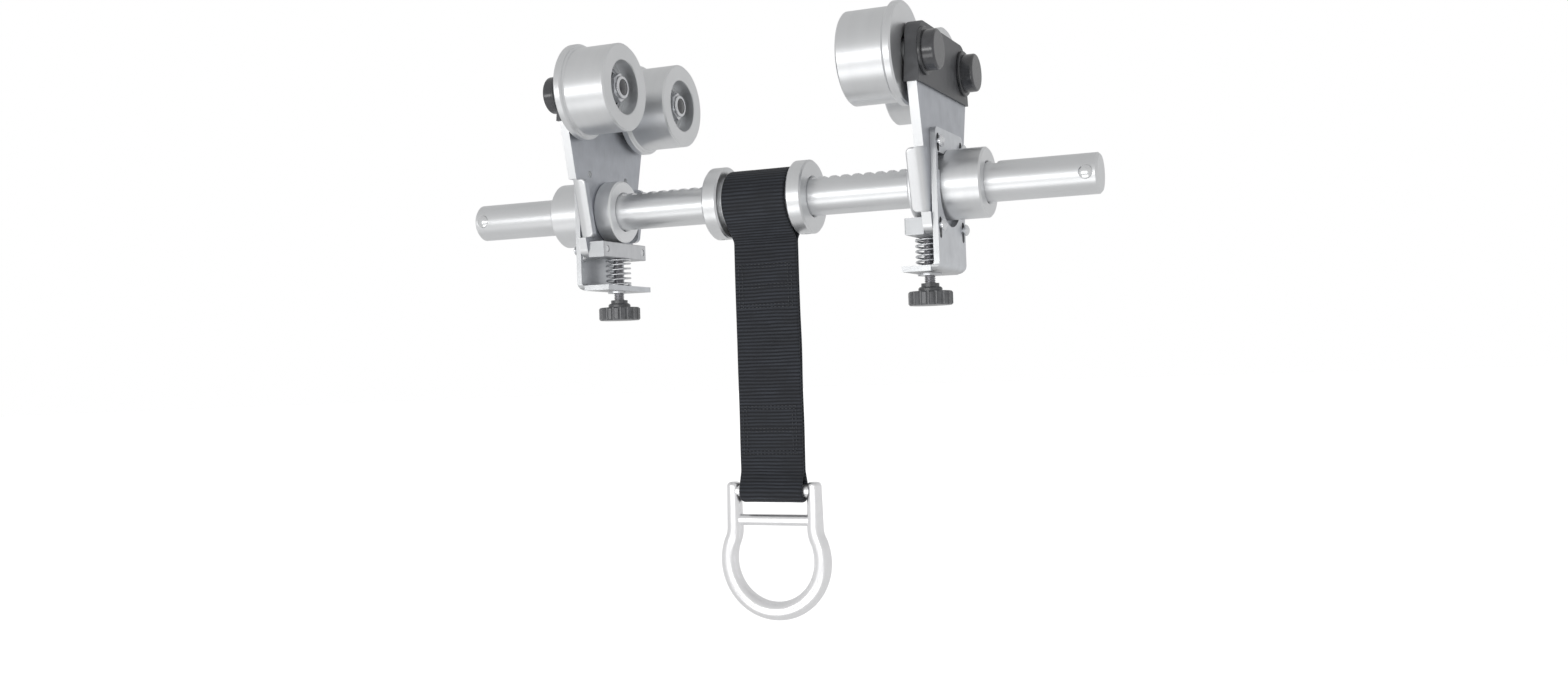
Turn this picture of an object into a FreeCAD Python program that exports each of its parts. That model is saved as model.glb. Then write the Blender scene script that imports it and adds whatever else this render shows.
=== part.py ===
import FreeCAD, Part
import math
import os

import Sketcher

# Rolling beam trolley with a sling: a notched round bar carries two roller carriages, which run
# on the bottom flange of an I-beam, and a spool with a webbing sling and a D-ring at its middle.
# Each carriage slides along the bar and is locked to it by a sprung plate whose tooth drops into
# the notches of the bar. Millimetres. X runs along the bar, Y is the way the rollers travel, Z is
# up, and the origin is the middle of the beam's seat: between the four rollers, at the height of
# the lowest line of their treads.
# Sketches are drawn about the bar's axis, which the placements put bar_drop under the origin.

SIZES = [
    ("bar_diameter", 28.6, "round bar"),
    ("bar_length", 504, "over its ends"),
    ("bar_edge", 1.6, "chamfer of the bar's ends"),
    ("rack_pitch", 9, "from notch to notch"),
    ("rack_count", 16, "notches on each half of the bar"),
    ("notch_depth", 2.5, "below the top of the bar"),
    ("notch_floor", 4.6, "width of a notch at its floor"),
    ("notch_mouth", 8.0, "width of a notch at its mouth"),
    ("notch_round", 2.05, "radius of the notch's lips"),
    ("stop_pin_place", 243.9, "from the middle of the bar to a stop pin"),
    ("stop_pin_diameter", 9.4, "pin across each end of the bar"),
    ("stop_pin_length", 31.4, "over its domed ends"),
    ("stop_pin_dome", 1.4, "height of each dome"),
    ("roller_rise", 87.6, "bar's axis to the rollers' axes"),
    ("roller_spread", 46.5, "rollers' axes from the middle, along Y"),
    ("tread_radius", 32.8, "roller tread"),
    ("flange_radius", 35.9, "roller flange"),
    ("flange_width", 6.5, "roller flange"),
    ("roller_inner", 90.3, "inner end face of the rollers from the middle"),
    ("roller_outer", 131.3, "outer end face of the rollers from the middle"),
    ("roller_edge", 1.2, "chamfers of the rollers"),
    ("recess_radius", 20.3, "recess in the roller's inner end"),
    ("recess_depth", 12, "recess in the roller's inner end"),
    ("bearing_radius", 16, "outside of the bearing"),
    ("bearing_width", 24, "double-row bearing"),
    ("bearing_edge", 0.5, "chamfer of the bearing's outer ring"),
    ("bearing_shoulder", 13.6, "radius of the opening behind the bearing"),
    ("race_outer", 9.5, "outside radius of the bearing's inner ring"),
    ("race_ring", 13.2, "inside radius of the bearing's outer ring"),
    ("ball_radius", 1.75, "bearing ball"),
    ("ball_count", 10, "balls in each row"),
    ("ball_row", 12, "distance between the two rows of balls"),
    ("axle_radius", 6, "shank of the axle bolt"),
    ("axle_room", 6.2, "hole for the axle bolt"),
    ("bolt_head_radius", 14, "round cap of the axle bolt's head"),
    ("bolt_head", 8.8, "height of the axle bolt's head"),
    ("bolt_head_round", 1.8, "rounded edge of the head's face"),
    ("washer_radius", 16.6, "washer under the axle bolt's head"),
    ("washer_thick", 2.5, "washer under the axle bolt's head"),
    ("washer_edge", 0.6, "softened edges of the washer"),
    ("nut_flats", 19, "axle nut across flats"),
    ("nut_height", 7.5, "hexagon of the axle nut"),
    ("nut_collar", 8.7, "radius of the nut's locking collar"),
    ("nut_collar_height", 2.6, "locking collar"),
    ("bolt_end", 1.2, "dome on the end of the axle bolt"),
    ("bolt_short", 0.6, "bolt's end stands inside the roller's face"),
    ("nut_seat", 0.4, "nut and inner ring reach behind the recess's floor"),
    ("nut_collar_round", 1.04, "rounded rim of the locking collar"),
    ("nut_join", 0.5, "locking collar reaches into the hexagon"),
    ("plate_inner", 134.4, "side plate's inner face from the middle"),
    ("plate_thick", 6.8, "side plate"),
    ("plate_foot", 33, "half width of the side plate at its foot"),
    ("plate_foot_drop", 36, "side plate's foot below the bar's axis"),
    ("plate_shoulder", 58.2, "half width of the side plate under its cap"),
    ("plate_shoulder_rise", 65.2, "underside of the cap above the bar's axis"),
    ("plate_head", 51.5, "half width of the side plate at its head"),
    ("plate_head_rise", 106.4, "side plate's head above the bar's axis"),
    ("plate_corner", 8, "rounded foot corners of the side plate"),
    ("plate_cut", 9.4, "cut head corners of the side plate"),
    ("wing_reach", 13.7, "stiffening wing, over the plate's outer face"),
    ("wing_thick", 5, "stiffening wing"),
    ("wing_bottom", 21.5, "wing's lower end below the bar's axis"),
    ("wing_top", 22.5, "wing's upper end above the bar's axis"),
    ("wing_bend", 9, "outer radius of the wing's bend"),
    ("wing_corner", 4, "rounded corners of the wing's free edge"),
    ("wing_edge", 1.4, "softened edges of the wing"),
    ("cap_inner", 132.3, "bumper cap's inner face from the middle"),
    ("cap_outer", 143.2, "bumper cap's outer face from the middle"),
    ("cap_foot", 60.2, "half width of the cap at its underside"),
    ("cap_head", 54, "half width of the cap at its top"),
    ("cap_top_rise", 109, "top of the cap above the bar's axis"),
    ("cap_round", 12, "rounded top corners of the cap"),
    ("cap_edge", 1, "softened edges of the cap"),
    ("cap_room", 0.2, "clearance of the plate in its cap"),
    ("cap_rest", 0.3, "cap's underside above the plate's shoulders"),
    ("collar_inner", 120, "inner collar's end face from the middle"),
    ("collar_inner_radius", 24.3, "inner collar"),
    ("collar_outer", 173.3, "outer collar's end face from the middle"),
    ("collar_outer_radius", 25, "outer collar"),
    ("collar_edge", 1.2, "chamfer of the collars"),
    ("bore_lip", 2, "lip that closes a collar or spool flange over the sleeve inside it"),
    ("bore_key", 1.3, "radius of the small notch at the foot of a lip's bore"),
    ("bush_radius", 19, "outside radius of the bush"),
    ("bush_edge", 0.6, "chamfer of the bush outside"),
    ("bore_mouth", 1.2, "chamfer of a bore's mouth"),
    ("running_gap", 0.06, "radial clearance of what slides or turns on the bar"),
    ("seat_gap", 0.15, "clearance of what is pressed together"),
    ("face_gap", 0.1, "gap between faces that lie together"),
    ("end_gap", 0.2, "gap at the end of a pin, a stud or a slot"),
    ("slot_floor", 10, "floor of the tooth's slot above the bar's axis"),
    ("slot_half", 18.6, "half width of the tooth's slot"),
    ("slot_end", 145.8, "outer end of the tooth's slot from the middle"),
    ("lock_inner", 141.3, "lock plate's inner face from the middle"),
    ("lock_thick", 4, "lock plate"),
    ("lock_half", 33, "half width of the lock plate"),
    ("lock_top", 38, "lock plate's top above the bar's axis"),
    ("shelf_inner", 117.6, "shelf's free edge from the middle"),
    ("shelf_bottom", 62, "underside of the shelf below the bar's axis"),
    ("shelf_bend", 6.5, "outer radius of the bend to the shelf"),
    ("lock_corner", 5, "rounded foot corners of the lock plate"),
    ("window_radius", 25.6, "round window for the outer collar"),
    ("window_drop", 4.3, "window's centre below the bar's axis"),
    ("window_ear", 28.8, "half width of the window's ears"),
    ("window_ear_foot", 8, "foot of the ears above the bar's axis"),
    ("window_head", 20.5, "head of the window above the bar's axis"),
    ("tooth_half", 11, "half width of the tooth"),
    ("tooth_tip", 14.9, "tip of the tooth above the bar's axis, just clear of the bar"),
    ("guide_spread", 27.4, "guide screws from the middle, along Y"),
    ("guide_upper", 28, "upper guide screws above the bar's axis"),
    ("guide_lower", 30.3, "lower guide screws below the bar's axis"),
    ("guide_radius", 2.5, "shank of a guide screw"),
    ("guide_room", 2.8, "half width of the slots for the guide screws"),
    ("guide_up", 3.0, "slot beyond the screw, upwards"),
    ("guide_down", 4.3, "upper slot beyond the screw, downwards"),
    ("guide_down_lower", 6.4, "lower slot beyond the screw, downwards"),
    ("guide_stand", 1.8, "guide screws' heads stand off the lock plate"),
    ("guide_head", 4.2, "radius of a guide screw's head"),
    ("guide_head_height", 3, "domed head, a quarter of it a straight brim"),
    ("guide_start", 0.4, "lower guide screws begin inside the block's face"),
    ("guide_recess", 2.2, "upper guide screws' ends behind the side plate's inner face"),
    ("block_inner", 120.6, "lock block's inner face from the middle"),
    ("block_half", 32.6, "half width of the lock block"),
    ("block_top", 24.5, "lock block's top below the bar's axis"),
    ("block_height", 12, "lock block"),
    ("block_edge", 0.6, "chamfer of the lock block"),
    ("stud_place", 127.6, "stud's axis from the middle"),
    ("stud_radius", 4, "M8 stud"),
    ("stud_foot", 78, "lower end of the stud below the bar's axis"),
    ("stud_room", 4.6, "radius of the shelf's hole for the stud"),
    ("spring_radius", 9.2, "mean radius of the lock spring"),
    ("spring_wire", 0.75, "radius of the spring's wire"),
    ("spring_pitch", 3.5, "from coil to coil"),
    ("spring_coils", 5.55, "turns of the spring"),
    ("shelf_washer_radius", 8.6, "washer under the shelf"),
    ("shelf_washer_thick", 1.5, "washer under the shelf"),
    ("knob_top", 69, "knob's top below the bar's axis"),
    ("knob_neck_radius", 6.5, "upper step of the knob's hub"),
    ("knob_step", 71.6, "lower step of the hub below the bar's axis"),
    ("knob_hub_radius", 8.6, "lower step of the knob's hub"),
    ("knob_rim_top", 74.7, "top of the knob's rim below the bar's axis"),
    ("knob_rim_radius", 16, "knob's rim over its lobes"),
    ("knob_bottom", 84.7, "knob's underside below the bar's axis"),
    ("knob_lobes", 18, "grooves round the rim"),
    ("knob_groove", 1.5, "radius of a groove"),
    ("knob_groove_out", 0.53, "a groove's centre stands outside the rim"),
    ("knob_edge", 1, "softened edges of the rim"),
    ("insert_radius", 5.5, "threaded insert of the knob"),
    ("insert_top", 69.6, "top of the insert below the bar's axis"),
    ("insert_foot", 81.4, "foot of the insert below the bar's axis"),
    ("insert_gap", 0.06, "radial clearance of the insert"),
    ("knob_bore_foot", 82, "floor of the knob's bore below the bar's axis"),
    ("hub_radius", 20, "outside radius of the spool's hub"),
    ("spool_half", 40, "outer faces of the spool from the middle"),
    ("spool_throat", 28, "inner faces of the spool's flanges from the middle"),
    ("spool_radius", 27.4, "spool's flanges"),
    ("spool_edge", 1.2, "chamfer of the spool's flanges"),
    ("grub_radius", 2.4, "grub screws that hold the flanges"),
    ("grub_depth", 0.6, "grub screws' outer ends inside the flanges' rims"),
    ("strap_width", 51, "webbing of the sling"),
    ("strap_layer", 3.4, "one layer of webbing"),
    ("strap_gap", 0.3, "clearance of the webbing on the hub"),
    ("strap_leave", 45, "angle below level at which the webbing leaves the hub"),
    ("strap_meet", 30, "where the two layers meet, below the bar's axis"),
    ("eye_drop", 217.8, "D-ring pin below the bar's axis"),
    ("eye_radius", 5.1, "webbing's inner radius round the D-ring pin"),
    ("eye_leave", 15, "angle above level at which the webbing leaves the pin"),
    ("eye_meet", 203, "where the two layers part again, below the bar's axis"),
    ("ring_leg_place", 32.7, "D-ring's legs from the middle"),
    ("ring_leg_top", 211, "top of the legs below the bar's axis"),
    ("ring_leg_radius", 5.4, "section of the legs"),
    ("ring_top_round", 3.24, "rounded tops of the legs"),
    ("ring_leg_foot", 244.2, "foot of the straight legs below the bar's axis"),
    ("ring_bow_centre", 269.6, "centre of the bow below the bar's axis"),
    ("ring_bow_radius", 37.9, "centre line of the bow"),
    ("ring_neck_angle", 21.7, "bow's ends above level"),
    ("ring_neck_radius", 22, "centre line of the curve from leg to bow"),
    ("ring_bow_section", 7.0, "section of the bow at its foot"),
    ("ring_bar_drop", 239.5, "D-ring's cross bar below the bar's axis"),
    ("ring_bar_radius", 4.25, "D-ring's cross bar"),
    ("ring_pin_radius", 4.8, "D-ring's pin"),
    ("ring_pin_edge", 0.5, "chamfer of the D-ring's pin"),
]

doc = FreeCAD.newDocument("beam_trolley")
sheet = doc.addObject("Spreadsheet::Sheet", "Sizes")
for row, (alias, value, note) in enumerate(SIZES, start=1):
    sheet.set(f"A{row}", alias)
    sheet.set(f"B{row}", str(value))
    sheet.set(f"C{row}", note)
    sheet.setAlias(f"B{row}", alias)
doc.recompute()


class Length:
    """A number read from the sheet that keeps the expression it came from."""

    def __init__(self, value, text):
        self.value = float(value)
        self.text = text

    @staticmethod
    def of(other):
        return other if isinstance(other, Length) else Length(other, str(other))

    def combine(self, other, sign, value):
        return Length(value, f"({self.text} {sign} {Length.of(other).text})")

    def __add__(self, other):
        return self.combine(other, "+", self.value + Length.of(other).value)

    def __sub__(self, other):
        return self.combine(other, "-", self.value - Length.of(other).value)

    def __mul__(self, other):
        return self.combine(other, "*", self.value * Length.of(other).value)

    def __truediv__(self, other):
        return self.combine(other, "/", self.value / Length.of(other).value)

    def __neg__(self):
        return Length(0, "0") - self


def cos(angle):
    return Length(math.cos(math.radians(angle.value)), f"cos({angle.text} * 1 deg)")


def sin(angle):
    return Length(math.sin(math.radians(angle.value)), f"sin({angle.text} * 1 deg)")


def size(alias):
    return Length(sheet.get(alias), f"Sizes.{alias}")


bar_radius = size("bar_diameter") / 2
bar_drop = size("roller_rise") - size("tread_radius")
ZERO = Length(0, "0")


# ---- document helpers -------------------------------------------------------------------------

finished = []


def place(thing, x=ZERO, y=ZERO, z=ZERO):
    """Puts a sub-part, drawn about the bar's axis, into the model's frame."""
    for letter, offset in (("x", x), ("y", y), ("z", z - bar_drop)):
        thing.setExpression(f"Placement.Base.{letter}", offset.text)
    finished.append(thing)


def new_body(label, x=ZERO, y=ZERO, z=ZERO):
    body = doc.addObject("PartDesign::Body", label)
    body.Label = label
    place(body, x, y, z)
    return body


def new_sketch(body, role, lift=ZERO):
    sketch = body.newObject("Sketcher::SketchObject", f"{body.Name}_sketch")
    plane = next(item for item in body.Origin.OriginFeatures if item.Role == role)
    sketch.AttachmentSupport = [(plane, "")]
    sketch.MapMode = "FlatFace"
    sketch.setExpression("AttachmentOffset.Base.z", lift.text)
    return sketch


def pin_point(sketch, index, end, u, v):
    """Fixes a point of the sketch's geometry at (u, v)."""
    for kind, axis, amount in (("DistanceX", -2, u), ("DistanceY", -1, v)):
        if abs(amount.value) < 1e-9:
            sketch.addConstraint(Sketcher.Constraint("PointOnObject", index, end, axis))
            continue
        ends = (-1, 1, index, end) if amount.value > 0 else (index, end, -1, 1)
        number = sketch.addConstraint(Sketcher.Constraint(kind, *ends, abs(amount.value)))
        positive = amount if amount.value > 0 else -amount
        sketch.setExpression(f"Constraints[{number}]", positive.text)


def bulge(start, end, radius):
    """Arc from start to end, counter-clockwise for a positive radius, under half a turn."""
    chord = end - start
    across = FreeCAD.Vector(-chord.y, chord.x, 0).normalize()
    sagitta = abs(radius) - math.sqrt(max(radius**2 - (chord.Length / 2) ** 2, 0))
    middle = (start + end) / 2 - across * math.copysign(sagitta, radius)
    return Part.Arc(start, middle, end)


def outline(sketch, corners, closed=True):
    """Joins corners (u, v) or (u, v, radius): a radius makes an arc of the edge that follows."""
    points = [FreeCAD.Vector(corner[0].value, corner[1].value, 0) for corner in corners]
    count = len(corners) if closed else len(corners) - 1
    first = sketch.GeometryCount
    for step in range(count):
        start, end = points[step], points[(step + 1) % len(points)]
        curved = len(corners[step]) == 3
        edge = bulge(start, end, corners[step][2].value) if curved else Part.LineSegment(start, end)
        sketch.addGeometry(edge, False)
    # An arc in a sketch always runs counter-clockwise, so a clockwise one has its ends swapped.
    ends = []
    for step in range(count):
        flipped = len(corners[step]) == 3 and corners[step][2].value < 0
        ends.append((2, 1) if flipped else (1, 2))
    for step in range(count):
        u, v = corners[step][:2]
        pin_point(sketch, first + step, ends[step][0], u, v)
        if len(corners[step]) == 3:
            radius = corners[step][2]
            positive = radius if radius.value > 0 else -radius
            number = sketch.addConstraint(
                Sketcher.Constraint("Radius", first + step, positive.value))
            sketch.setExpression(f"Constraints[{number}]", positive.text)
        if closed or step < count - 1:
            after = (step + 1) % count
            sketch.addConstraint(Sketcher.Constraint(
                "Coincident", first + step, ends[step][1], first + after, ends[after][0]))
    if not closed:
        pin_point(sketch, first + count - 1, ends[-1][1], *corners[-1][:2])


def dome_curve(radius, height):
    """Radius of the ball whose cap has this rim radius and height."""
    return (radius * radius + height * height) / (height * 2)


def circle(sketch, u, v, radius):
    centre = FreeCAD.Vector(u.value, v.value, 0)
    index = sketch.addGeometry(Part.Circle(centre, FreeCAD.Vector(0, 0, 1), radius.value), False)
    pin_point(sketch, index, 3, u, v)
    number = sketch.addConstraint(Sketcher.Constraint("Radius", index, radius.value))
    sketch.setExpression(f"Constraints[{number}]", radius.text)


def hexagon(sketch, flats):
    """Regular hexagon about the sketch's origin, with corners up and down."""
    reach = flats / 2 / cos(Length(30, "30"))
    turns = [Length(30 + 60 * side, str(30 + 60 * side)) for side in range(6)]
    outline(sketch, [(reach * cos(turn), reach * sin(turn)) for turn in turns])


def extrude(body, kind, sketch, length, middle=False, backwards=False):
    feature = body.newObject(f"PartDesign::{kind}", f"{body.Name}_{kind}")
    feature.Profile = sketch
    feature.SideType = "Symmetric" if middle else "One side"
    feature.setExpression("Length", length.text)
    feature.Reversed = backwards
    body.Tip = feature
    return feature


def revolve(body, kind, sketch, axis="H_Axis"):
    feature = body.newObject(f"PartDesign::{kind}", f"{body.Name}_{kind}")
    feature.Profile = sketch
    feature.ReferenceAxis = (sketch, [axis])
    feature.Angle = 360
    body.Tip = feature
    return feature


def edges(shape, chosen):
    """Names of the shape's edges whose middle point passes the test."""
    names = []
    for number, edge in enumerate(shape.Edges, start=1):
        middle = edge.valueAt((edge.FirstParameter + edge.LastParameter) / 2)
        if chosen(middle, edge):
            names.append(f"Edge{number}")
    return names


def soften(body, kind, amount, chosen):
    """Fillet or Chamfer on the edges of the body's tip that pass the test."""
    doc.recompute()
    base = body.Tip
    names = edges(base.Shape, chosen)
    if not names:
        raise RuntimeError(f"{body.Label}: no edge to soften")
    feature = body.newObject(f"PartDesign::{kind}", f"{body.Name}_{kind}")
    feature.Base = (base, names)
    feature.setExpression("Radius" if kind == "Fillet" else "Size", amount.text)
    body.Tip = feature
    return feature


def along_x(edge):
    return isinstance(edge.Curve, Part.Line) and abs(edge.Curve.Direction.x) > 0.999


def near(number, length):
    return abs(number - length.value) < 1e-3


def turned(label, profile, x=ZERO, y=ZERO, z=ZERO):
    """Body of revolution about X from a closed profile of (x, radius)."""
    body = new_body(label, x, y, z)
    sketch = new_sketch(body, "XY_Plane")
    outline(sketch, profile)
    revolve(body, "Revolution", sketch)
    return body


def sleeve(low, high, inside, outside, edge=ZERO):
    """Profile of a ring from low to high, with optional chamfers outside."""
    corners = [(low, outside - edge), (low + edge, outside), (high - edge, outside), (high, outside - edge)]
    if not edge.value:
        corners = [(low, outside), (high, outside)]
    return corners + [(high, inside), (low, inside)]


class Side:
    """One end of the trolley: turns distances from the middle into X, on the left or the right."""

    def __init__(self, name, sign):
        self.name = name
        self.sign = sign

    def x(self, distance):
        return distance if self.sign > 0 else -distance

    def span(self, inner, outer):
        """The same span as (low X, length)."""
        return (inner if self.sign > 0 else -outer), outer - inner

    def slab(self, body, inner, outer, draw, kind="Pad"):
        """Pads or pockets a sketch, drawn across the bar, from inner to outer."""
        low, length = self.span(inner, outer)
        sketch = new_sketch(body, "YZ_Plane", low)
        draw(sketch)
        return extrude(body, kind, sketch, length, backwards=kind == "Pocket")

    def ring(self, label, inner, outer, inside, outside, edge=ZERO, y=ZERO, z=ZERO):
        low, length = self.span(inner, outer)
        return turned(label, sleeve(low, low + length, inside, outside, edge), y=y, z=z)

    def lipped_ring(self, label, back, face, seat, outside, edge):
        """Ring over a sleeve of radius seat, which a lip at its face closes down to the bar."""
        forward = 1 if face.value > back.value else -1
        bore = bar_radius + size("running_gap")
        mouth = size("bore_mouth")
        lip = face - size("bore_lip") * forward
        room = seat + size("seat_gap")
        profile = [(back, outside - edge), (back + edge * forward, outside), (face - edge * forward, outside),
                   (face, outside - edge), (face, bore + mouth), (face - mouth * forward, bore),
                   (lip, bore), (lip, room), (back, room)]
        body = turned(label, [(self.x(distance), radius) for distance, radius in profile])
        middle = (back + face) / 2

        def key(sketch):
            circle(sketch, ZERO, -bore, size("bore_key"))

        self.slab(body, *((middle, face + 1) if forward > 0 else (face - 1, middle)), key, "Pocket")
        return body


SIDES = [Side("left", -1), Side("right", 1)]
ROLLERS = [("front", -size("roller_spread")), ("back", size("roller_spread"))]


def mirror_corners(half):
    """Closed outline, symmetric about the sketch's V axis, from its right half listed upwards."""
    return half + [(-u, v) for u, v in reversed(half)]


def both_rollers(sketch, radius):
    for _, y in ROLLERS:
        circle(sketch, y, size("roller_rise"), radius)


# ---- bar --------------------------------------------------------------------------------------

def notched_bar():
    body = new_body("bar")
    half = size("bar_length") / 2
    edge = size("bar_edge")
    sketch = new_sketch(body, "XY_Plane")
    outline(sketch, [(-half, ZERO), (half, ZERO), (half, bar_radius - edge),
                     (half - edge, bar_radius), (-half + edge, bar_radius), (-half, bar_radius - edge)])
    revolve(body, "Revolution", sketch)
    floor = bar_radius - size("notch_depth")
    lip = size("notch_round")
    narrow = size("notch_floor") / 2
    wide = size("notch_mouth") / 2
    clear = bar_radius + size("notch_depth")
    tooth_place = size("lock_inner") + size("lock_thick") / 2
    last = tooth_place + size("rack_pitch") * 4
    for side in SIDES:
        middle = side.x(last)
        sketch = new_sketch(body, "XZ_Plane")
        outline(sketch, [
            (middle - narrow, floor), (middle + narrow, floor),
            (middle + narrow, bar_radius - lip, -lip),
            (middle + wide, bar_radius), (middle + wide, clear),
            (middle - wide, clear), (middle - wide, bar_radius, -lip),
            (middle - narrow, bar_radius - lip)])
        notch = extrude(body, "Pocket", sketch, size("bar_diameter"), middle=True)
        rack = body.newObject("PartDesign::LinearPattern", f"rack_{side.name}")
        rack.Originals = [notch]
        rack.Direction = (sketch, ["H_Axis"])
        rack.Reversed = side.sign > 0
        rack.setExpression("Length", (size("rack_pitch") * (size("rack_count") - 1)).text)
        rack.setExpression("Occurrences", "Sizes.rack_count")
        body.Tip = rack
    sketch = new_sketch(body, "XZ_Plane")
    for side in SIDES:
        circle(sketch, side.x(size("stop_pin_place")), ZERO,
               size("stop_pin_diameter") / 2 + size("seat_gap"))
    extrude(body, "Pocket", sketch, size("bar_diameter") * 2, middle=True)


def stop_pin(side):
    """Cross pin with domed ends, turned about Y, that keeps the carriage on the bar."""
    body = new_body(f"stop_pin_{side.name}", x=side.x(size("stop_pin_place")))
    half = size("stop_pin_length") / 2
    radius = size("stop_pin_diameter") / 2
    dome = size("stop_pin_dome")
    curve = dome_curve(radius, dome)
    sketch = new_sketch(body, "XY_Plane")
    outline(sketch, [(ZERO, -half, curve), (radius, dome - half), (radius, half - dome, curve),
                     (ZERO, half)])
    revolve(body, "Revolution", sketch, "V_Axis")


# ---- carriage: what is bolted to the side plate ------------------------------------------------

def edge_half_width(height):
    """Half width of the side plate's sloping edge at a height above the bar's axis."""
    foot = size("plate_foot")
    drop = size("plate_foot_drop")
    slope = (size("plate_shoulder") - foot) / (size("plate_shoulder_rise") + drop)
    return foot + slope * (height + drop)


def wings(body, side):
    """Tabs bent in along both edges of the side plate, with rounded corners and bends."""
    outer = size("plate_inner") + size("plate_thick")
    low = -size("wing_bottom")
    high = size("wing_top")
    thick = size("wing_thick")
    low_edge = edge_half_width(low)
    high_edge = edge_half_width(high)
    for hand in (-1, 1):
        def wing(sketch):
            outline(sketch, [(low_edge * hand, low), (high_edge * hand, high),
                             ((high_edge - thick) * hand, high), ((low_edge - thick) * hand, low)])

        side.slab(body, outer - size("wing_reach"), outer, wing)
    tip = side.x(outer - size("wing_reach"))
    inside = side.x(size("plate_inner"))

    def corner(point, edge):
        return near(point.x, tip) and (near(point.z, low) or near(point.z, high))

    def outer_edge(point, edge):
        off_edge = abs(point.y) - edge_half_width(Length.of(point.z)).value
        past_plate = (point.x - inside.value) * side.sign < 0
        return abs(off_edge) < 0.01 and past_plate

    soften(body, "Fillet", size("wing_corner"), corner)
    soften(body, "Fillet", size("wing_edge"), outer_edge)
    bend = size("wing_bend")
    for hand in (-1, 1):
        edge = low_edge * hand
        start = edge - bend * hand
        beyond = edge + hand
        sketch = new_sketch(body, "XY_Plane", low)
        outline(sketch, [(side.x(outer), start, bend * (hand * side.sign)), (side.x(outer - bend), edge),
                         (side.x(outer - bend), beyond), (side.x(outer + 1), beyond),
                         (side.x(outer + 1), start)])
        cut = extrude(body, "Pocket", sketch, high - low)
        cut.UseCustomVector = True
        cut.Direction = FreeCAD.Vector(0, hand * (high_edge - low_edge).value / (high - low).value, 1)


def side_plate(side):
    body = new_body(f"side_plate_{side.name}")
    inner = size("plate_inner")
    outer = inner + size("plate_thick")

    def plate(sketch):
        outline(sketch, mirror_corners([
            (size("plate_foot"), -size("plate_foot_drop")),
            (size("plate_shoulder"), size("plate_shoulder_rise")),
            (size("plate_head"), size("plate_head_rise"))]))

    side.slab(body, inner, outer, plate)
    foot = -size("plate_foot_drop")
    head = size("plate_head_rise")
    soften(body, "Fillet", size("plate_corner"), lambda p, e: along_x(e) and near(p.z, foot))
    soften(body, "Chamfer", size("plate_cut"), lambda p, e: along_x(e) and near(p.z, head))
    wings(body, side)

    def holes(sketch):
        circle(sketch, ZERO, ZERO, size("bush_radius") + size("seat_gap"))
        both_rollers(sketch, size("axle_room"))
        for height in (size("guide_upper"), -size("guide_lower")):
            for hand in (-1, 1):
                circle(sketch, size("guide_spread") * hand, height, size("guide_radius") + size("seat_gap"))

    side.slab(body, inner - 1, outer + 1, holes, "Pocket")


def bumper_cap(side):
    """Moulded cap over the head of the side plate, open underneath."""
    body = new_body(f"bumper_cap_{side.name}")
    under = size("plate_shoulder_rise") + size("cap_rest")
    top = size("cap_top_rise")

    def block(sketch):
        outline(sketch, mirror_corners([(size("cap_foot"), under), (size("cap_head"), top)]))

    side.slab(body, size("cap_inner"), size("cap_outer"), block)
    soften(body, "Fillet", size("cap_round"), lambda p, e: along_x(e) and near(p.z, top))
    soften(body, "Fillet", size("cap_edge"), lambda p, e: not along_x(e) and p.z > under.value + 0.01)
    room = size("cap_room")
    ceiling = size("plate_head_rise") + room
    shoulder = size("plate_shoulder") + room
    head = size("plate_head") + room
    cut = size("plate_cut") - room * 2
    lean = (shoulder - head) / (ceiling - under)

    def pouch(sketch):
        outline(sketch, mirror_corners([
            (shoulder, under - 1), (shoulder, under), (head + cut * lean, ceiling - cut),
            (head - cut, ceiling)]))

    plate_outer = size("plate_inner") + size("plate_thick")
    side.slab(body, size("plate_inner") - room, plate_outer + room, pouch, "Pocket")
    side.slab(body, size("cap_inner") - 1, size("cap_outer") + 1,
              lambda sketch: both_rollers(sketch, size("axle_room")), "Pocket")


def collars(side):
    """Collars on both faces of the side plate, and the bush that runs through them."""
    plate_outer = size("plate_inner") + size("plate_thick")
    seat = size("bush_radius")
    edge = size("collar_edge")
    side.lipped_ring(f"inner_collar_{side.name}", size("plate_inner"), size("collar_inner"), seat,
                     size("collar_inner_radius"), edge)
    outer = side.lipped_ring(f"outer_collar_{side.name}", plate_outer, size("collar_outer"), seat,
                             size("collar_outer_radius"), edge)
    cover = size("bore_lip") + size("seat_gap")
    bush = side.ring(f"bush_{side.name}", size("collar_inner") + cover, size("collar_outer") - cover,
                     bar_radius + size("running_gap"), seat, size("bush_edge"))
    half = size("slot_half")
    floor = size("slot_floor")
    roof = size("collar_outer_radius") + 1
    for body in (outer, bush):
        side.slab(body, plate_outer - size("end_gap"), size("slot_end"),
                  lambda sketch: outline(sketch, mirror_corners([(half, floor), (half, roof)])), "Pocket")


def lock_block(side):
    body = new_body(f"lock_block_{side.name}")
    top = -size("block_top")
    foot = top - size("block_height")
    half = size("block_half")
    side.slab(body, size("block_inner"), size("plate_inner"),
              lambda sketch: outline(sketch, mirror_corners([(half, foot), (half, top)])))
    inner = side.x(size("block_inner"))
    soften(body, "Chamfer", size("block_edge"), lambda p, e: near(p.x, inner))

    def screw_holes(sketch):
        for hand in (-1, 1):
            circle(sketch, size("guide_spread") * hand, -size("guide_lower"),
                   size("guide_radius") + size("seat_gap"))

    side.slab(body, size("block_inner") - 1, size("plate_inner") + 1, screw_holes, "Pocket")
    sketch = new_sketch(body, "XY_Plane", top + 1)
    circle(sketch, side.x(size("stud_place")), ZERO, size("stud_radius") + size("seat_gap"))
    extrude(body, "Pocket", sketch, size("block_height") + 2)


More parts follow.
